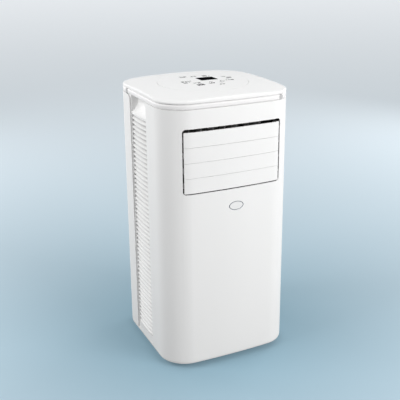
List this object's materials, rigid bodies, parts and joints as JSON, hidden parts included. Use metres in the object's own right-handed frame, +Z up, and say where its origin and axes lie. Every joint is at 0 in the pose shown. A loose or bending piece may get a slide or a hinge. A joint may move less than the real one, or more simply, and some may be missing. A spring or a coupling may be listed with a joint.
{
  "type": "portable air conditioner",
  "caption": "Free-standing portable air conditioner: tall rounded white cabinet on casters with louvred sides, a tilting-blade air outlet at the front and a round top control panel.",
  "frame": {"origin": "on the floor under the middle of the cabinet", "axes": "+Z up, the front with the air outlet faces -Y, +X is the right-hand side seen from the front"},
  "size_m": [0.3201, 0.3124, 0.6486],
  "materials": {
    "white_shell": "smooth white moulding",
    "white_grille": "satin white moulding",
    "white_trim": "satin white band",
    "facia": "smooth white facia",
    "display_black": "black window",
    "key_white": "satin white keys",
    "badge_metal": "bright plated oval, blank",
    "plug_grey": "grey plugs",
    "blade_white": "smooth white blades",
    "duct_grey": "dark grey duct",
    "vane_grey": "light grey vanes",
    "base_plastic": "moulded base",
    "caster_plastic": "black nylon fork",
    "caster_rubber": "grey tread",
    "inner_plastic": "plain inner moulding",
    "blower_plastic": "dark blower wheel",
    "motor_metal": "plain motor can",
    "coil_aluminium": "finned aluminium",
    "compressor_black": "black enamel",
    "soft_rubber": "black rubber",
    "copper_pipe": "drawn copper",
    "board_green": "circuit board",
    "screw_steel": "zinc plated steel",
    "filter_net": "grey mesh filter"
  },
  "bodies": {
    "cabinet": {"base_pan": "base_plastic", "front_panel": "white_shell", "side_grille_right": "white_grille", "side_grille_left": "white_grille", "rear_panel": "white_shell", "top_frame": "white_trim", "top_cover": "white_shell", "control_panel": "facia", "display_window": "display_black", "control_board": "board_green", "badge_plate": "badge_metal", "band_plugs": "plug_grey", "outlet_frame": "duct_grey", "deck": "inner_plastic", "evaporator_coil": "coil_aluminium", "evaporator_scroll": "inner_plastic", "evaporator_motor": "motor_metal", "condenser_coil": "coil_aluminium", "condenser_scroll": "inner_plastic", "condenser_motor": "motor_metal", "compressor": "compressor_black", "compressor_grommets": "soft_rubber", "refrigerant_pipes": "copper_pipe", "electrical_box": "inner_plastic", "exhaust_duct": "base_plastic", "exhaust_collar": "base_plastic", "cord_gland": "soft_rubber", "case_screws": "screw_steel"},
    "louvre_blade_1": {"louvre_blade_1": "blade_white"},
    "louvre_blade_2": {"louvre_blade_2": "blade_white"},
    "louvre_blade_3": {"louvre_blade_3": "blade_white"},
    "louvre_blade_4": {"louvre_blade_4": "blade_white"},
    "louvre_link": {"louvre_link": "vane_grey"},
    "vane_1": {"vane_1": "vane_grey"},
    "vane_2": {"vane_2": "vane_grey"},
    "vane_3": {"vane_3": "vane_grey"},
    "vane_4": {"vane_4": "vane_grey"},
    "vane_5": {"vane_5": "vane_grey"},
    "vane_6": {"vane_6": "vane_grey"},
    "vane_7": {"vane_7": "vane_grey"},
    "vane_link": {"vane_link": "vane_grey"},
    "evaporator_blower": {"evaporator_blower": "blower_plastic"},
    "condenser_blower": {"condenser_blower": "blower_plastic"},
    "caster_fork_front_left": {"caster_fork_front_left": "caster_plastic"},
    "caster_wheel_front_left": {"caster_wheel_front_left": "caster_rubber"},
    "caster_fork_front_right": {"caster_fork_front_right": "caster_plastic"},
    "caster_wheel_front_right": {"caster_wheel_front_right": "caster_rubber"},
    "caster_fork_rear_left": {"caster_fork_rear_left": "caster_plastic"},
    "caster_wheel_rear_left": {"caster_wheel_rear_left": "caster_rubber"},
    "caster_fork_rear_right": {"caster_fork_rear_right": "caster_plastic"},
    "caster_wheel_rear_right": {"caster_wheel_rear_right": "caster_rubber"},
    "key_mode": {"key_mode": "key_white"},
    "key_power": {"key_power": "key_white"},
    "key_timer": {"key_timer": "key_white"},
    "key_up": {"key_up": "key_white"},
    "key_down": {"key_down": "key_white"},
    "key_fan": {"key_fan": "key_white"},
    "filter": {"filter_cover": "white_grille", "filter_mesh": "filter_net"},
    "drain_plug": {"drain_plug": "soft_rubber"}
  },
  "joints": [
    {"name": "blade_1_tilt", "type": "hinge", "parent": "cabinet", "child": "louvre_blade_1", "pos_m": [0, -0.132, 0.4516], "axis": [-1, 0, 0], "range_deg": [0, 80]},
    {"name": "blade_2_tilt", "type": "hinge", "parent": "cabinet", "child": "louvre_blade_2", "pos_m": [0, -0.132, 0.486], "axis": [-1, 0, 0], "range_deg": [0, 80]},
    {"name": "blade_3_tilt", "type": "hinge", "parent": "cabinet", "child": "louvre_blade_3", "pos_m": [0, -0.132, 0.5204], "axis": [-1, 0, 0], "range_deg": [0, 80]},
    {"name": "blade_4_tilt", "type": "hinge", "parent": "cabinet", "child": "louvre_blade_4", "pos_m": [0, -0.132, 0.5548], "axis": [-1, 0, 0], "range_deg": [0, 80]},
    {"name": "louvre_link_pivot", "type": "hinge", "parent": "louvre_blade_1", "child": "louvre_link", "pos_m": [0.12445, -0.12128, 0.4606], "axis": [-1, 0, 0], "range_deg": [-80, 0]},
    {"name": "vane_1_swing", "type": "hinge", "parent": "cabinet", "child": "vane_1", "pos_m": [-0.0885, -0.1, 0.5], "axis": [0, 0, 1], "range_deg": [-38, 38]},
    {"name": "vane_2_swing", "type": "hinge", "parent": "cabinet", "child": "vane_2", "pos_m": [-0.059, -0.1, 0.5], "axis": [0, 0, 1], "range_deg": [-38, 38]},
    {"name": "vane_3_swing", "type": "hinge", "parent": "cabinet", "child": "vane_3", "pos_m": [-0.0295, -0.1, 0.5], "axis": [0, 0, 1], "range_deg": [-38, 38]},
    {"name": "vane_4_swing", "type": "hinge", "parent": "cabinet", "child": "vane_4", "pos_m": [0, -0.1, 0.5], "axis": [0, 0, 1], "range_deg": [-38, 38]},
    {"name": "vane_5_swing", "type": "hinge", "parent": "cabinet", "child": "vane_5", "pos_m": [0.0295, -0.1, 0.5], "axis": [0, 0, 1], "range_deg": [-38, 38]},
    {"name": "vane_6_swing", "type": "hinge", "parent": "cabinet", "child": "vane_6", "pos_m": [0.059, -0.1, 0.5], "axis": [0, 0, 1], "range_deg": [-38, 38]},
    {"name": "vane_7_swing", "type": "hinge", "parent": "cabinet", "child": "vane_7", "pos_m": [0.0885, -0.1, 0.5], "axis": [0, 0, 1], "range_deg": [-38, 38]},
    {"name": "vane_link_pivot", "type": "hinge", "parent": "vane_4", "child": "vane_link", "pos_m": [0, -0.091, 0.4349], "axis": [0, 0, 1], "range_deg": [-38, 38]},
    {"name": "evaporator_blower_spin", "type": "hinge", "parent": "cabinet", "child": "evaporator_blower", "pos_m": [0, 0.02, 0.408], "axis": [0, 1, 0], "continuous": true},
    {"name": "condenser_blower_spin", "type": "hinge", "parent": "cabinet", "child": "condenser_blower", "pos_m": [-0.03, 0.01, 0.158], "axis": [1, 0, 0], "continuous": true},
    {"name": "caster_front_left_swivel", "type": "hinge", "parent": "cabinet", "child": "caster_fork_front_left", "pos_m": [-0.112, -0.098, 0.05], "axis": [0, 0, 1], "continuous": true},
    {"name": "caster_front_left_roll", "type": "hinge", "parent": "caster_fork_front_left", "child": "caster_wheel_front_left", "pos_m": [-0.112, -0.087, 0.016], "axis": [1, 0, 0], "continuous": true},
    {"name": "caster_front_right_swivel", "type": "hinge", "parent": "cabinet", "child": "caster_fork_front_right", "pos_m": [0.112, -0.098, 0.05], "axis": [0, 0, 1], "continuous": true},
    {"name": "caster_front_right_roll", "type": "hinge", "parent": "caster_fork_front_right", "child": "caster_wheel_front_right", "pos_m": [0.112, -0.087, 0.016], "axis": [1, 0, 0], "continuous": true},
    {"name": "caster_rear_left_swivel", "type": "hinge", "parent": "cabinet", "child": "caster_fork_rear_left", "pos_m": [-0.112, 0.098, 0.05], "axis": [0, 0, 1], "continuous": true},
    {"name": "caster_rear_left_roll", "type": "hinge", "parent": "caster_fork_rear_left", "child": "caster_wheel_rear_left", "pos_m": [-0.112, 0.109, 0.016], "axis": [1, 0, 0], "continuous": true},
    {"name": "caster_rear_right_swivel", "type": "hinge", "parent": "cabinet", "child": "caster_fork_rear_right", "pos_m": [0.112, 0.098, 0.05], "axis": [0, 0, 1], "continuous": true},
    {"name": "caster_rear_right_roll", "type": "hinge", "parent": "caster_fork_rear_right", "child": "caster_wheel_rear_right", "pos_m": [0.112, 0.109, 0.016], "axis": [1, 0, 0], "continuous": true},
    {"name": "key_mode_press", "type": "slide", "parent": "cabinet", "child": "key_mode", "axis": [0, 0, -1], "range_m": [0, 0.0008], "stiffness_N_per_m": 800},
    {"name": "key_power_press", "type": "slide", "parent": "cabinet", "child": "key_power", "axis": [0, 0, -1], "range_m": [0, 0.0008], "stiffness_N_per_m": 800},
    {"name": "key_timer_press", "type": "slide", "parent": "cabinet", "child": "key_timer", "axis": [0, 0, -1], "range_m": [0, 0.0008], "stiffness_N_per_m": 800},
    {"name": "key_up_press", "type": "slide", "parent": "cabinet", "child": "key_up", "axis": [0, 0, -1], "range_m": [0, 0.0008], "stiffness_N_per_m": 800},
    {"name": "key_down_press", "type": "slide", "parent": "cabinet", "child": "key_down", "axis": [0, 0, -1], "range_m": [0, 0.0008], "stiffness_N_per_m": 800},
    {"name": "key_fan_press", "type": "slide", "parent": "cabinet", "child": "key_fan", "axis": [0, 0, -1], "range_m": [0, 0.0008], "stiffness_N_per_m": 800},
    {"name": "filter_pull", "type": "slide", "parent": "cabinet", "child": "filter", "axis": [0, 1, 0], "range_m": [0, 0.06]},
    {"name": "drain_plug_pull", "type": "slide", "parent": "cabinet", "child": "drain_plug", "axis": [0, 1, 0], "range_m": [0, 0.03]}
  ],
  "couplings": [
    {"joint": "blade_2_tilt", "follows": "blade_1_tilt", "ratio": 1},
    {"joint": "blade_3_tilt", "follows": "blade_1_tilt", "ratio": 1},
    {"joint": "blade_4_tilt", "follows": "blade_1_tilt", "ratio": 1},
    {"joint": "louvre_link_pivot", "follows": "blade_1_tilt", "ratio": -1},
    {"joint": "vane_1_swing", "follows": "vane_4_swing", "ratio": 1},
    {"joint": "vane_2_swing", "follows": "vane_4_swing", "ratio": 1},
    {"joint": "vane_3_swing", "follows": "vane_4_swing", "ratio": 1},
    {"joint": "vane_5_swing", "follows": "vane_4_swing", "ratio": 1},
    {"joint": "vane_6_swing", "follows": "vane_4_swing", "ratio": 1},
    {"joint": "vane_7_swing", "follows": "vane_4_swing", "ratio": 1},
    {"joint": "vane_link_pivot", "follows": "vane_4_swing", "ratio": -1}
  ]
}
